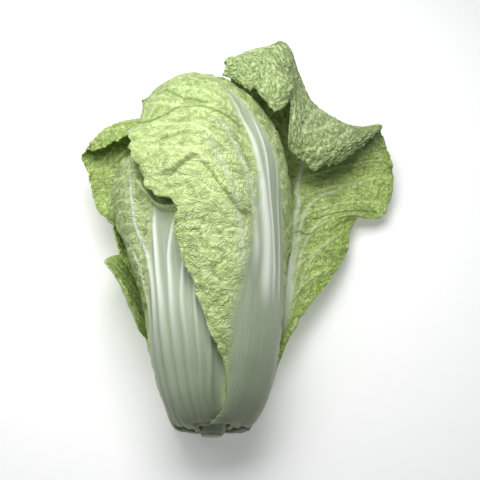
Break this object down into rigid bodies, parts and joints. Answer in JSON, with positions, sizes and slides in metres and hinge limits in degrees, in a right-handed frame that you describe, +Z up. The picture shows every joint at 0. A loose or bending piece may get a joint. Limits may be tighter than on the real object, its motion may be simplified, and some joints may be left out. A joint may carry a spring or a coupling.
{
  "type": "napa cabbage",
  "caption": "Whole napa cabbage lying on its side, pale ribbed stalks wrapped round a heart, crinkled green blades, outer leaves splayed open and one folded over.",
  "frame": {"origin": "middle of the bounding box, on the surface the cabbage lies on", "axes": "+Y along the head from its cut base to its tip, +Z up, +X to the right seen from the base"},
  "size_m": [0.2742, 0.3327, 0.1384],
  "materials": {
    "stem": "matte",
    "heart": "satin",
    "head_leaf": "satin",
    "outer_leaf": "satin"
  },
  "bodies": {
    "root": {"stem": "stem", "heart": "heart", "inner_leaf_top": "head_leaf", "inner_leaf_left": "head_leaf", "inner_leaf_right": "head_leaf", "inner_leaf_upper_left": "head_leaf", "inner_leaf_upper_right": "head_leaf", "bottom_leaf": "head_leaf", "head_leaf_left": "head_leaf", "head_leaf_right": "head_leaf", "outer_leaf_right": "outer_leaf", "outer_leaf_left": "outer_leaf", "outer_leaf_lower": "outer_leaf"}
  },
  "joints": []
}
